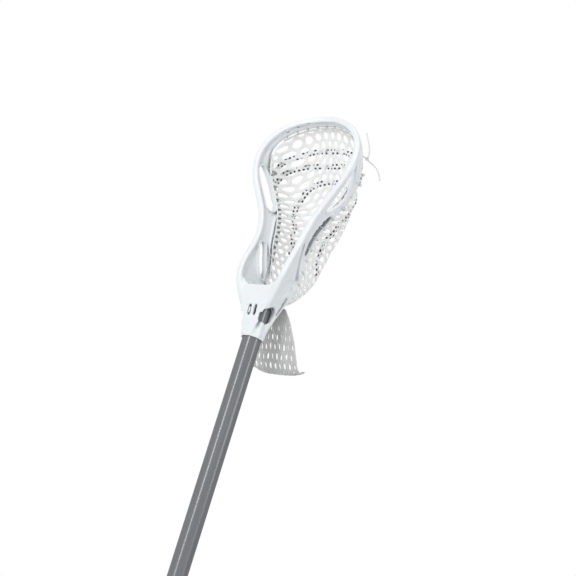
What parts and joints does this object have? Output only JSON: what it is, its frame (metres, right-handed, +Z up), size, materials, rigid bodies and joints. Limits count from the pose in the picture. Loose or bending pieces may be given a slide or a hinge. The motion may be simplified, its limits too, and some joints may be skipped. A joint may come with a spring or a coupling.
{
  "type": "lacrosse stick",
  "caption": "Field lacrosse stick: moulded open head on an octagonal tube, with a strung mesh pocket, shooting laces, a hanging mesh tail and a pull-off butt cap.",
  "frame": {"origin": "centre of the end cap's flat bottom, on the shaft's axis", "axes": "+Z up the shaft to the scoop, -Y out of the head's open face, +Y to the pocket, +X across the head"},
  "size_m": [0.1771, 0.1243, 1.0405],
  "materials": {
    "shaft_alloy": "satin anodised grey",
    "head_nylon": "moulded white nylon",
    "cap_rubber": "matt moulded rubber",
    "screw_steel": "zinc-plated",
    "pad_foam": "closed-cell foam",
    "mesh_cord": "braided hard mesh",
    "string_cord": "braided nylon string",
    "lace_weave": "woven lace with dark flecks"
  },
  "bodies": {
    "stick": {"shaft": "shaft_alloy", "head": "head_nylon", "ball_stop_pad": "pad_foam", "pocket_mesh": "mesh_cord", "top_string": "string_cord", "sidewall_string_left": "string_cord", "sidewall_string_right": "string_cord", "bottom_string": "string_cord", "shooting_lace_top": "lace_weave", "shooting_lace_middle": "lace_weave", "shooting_lace_u": "lace_weave", "sidewall_knots_left": "string_cord", "sidewall_knots_right": "string_cord", "string_tail_up": "string_cord", "string_tail_out": "string_cord"},
    "tail": {"mesh_tail": "mesh_cord", "string_tail_low": "string_cord"},
    "screw": {"head_screw": "screw_steel"},
    "cap": {"end_cap": "cap_rubber"}
  },
  "joints": [
    {"name": "tail_flap", "type": "hinge", "parent": "stick", "child": "tail", "pos_m": [0, 0.0253, 0.7653], "axis": [1, 0, 0], "range_deg": [-14, 85]},
    {"name": "screw_out", "type": "slide", "parent": "stick", "child": "screw", "axis": [0, 1, 0], "range_m": [0, 0.008]},
    {"name": "cap_off", "type": "slide", "parent": "stick", "child": "cap", "axis": [0, 0, -1], "range_m": [0, 0.03]}
  ]
}
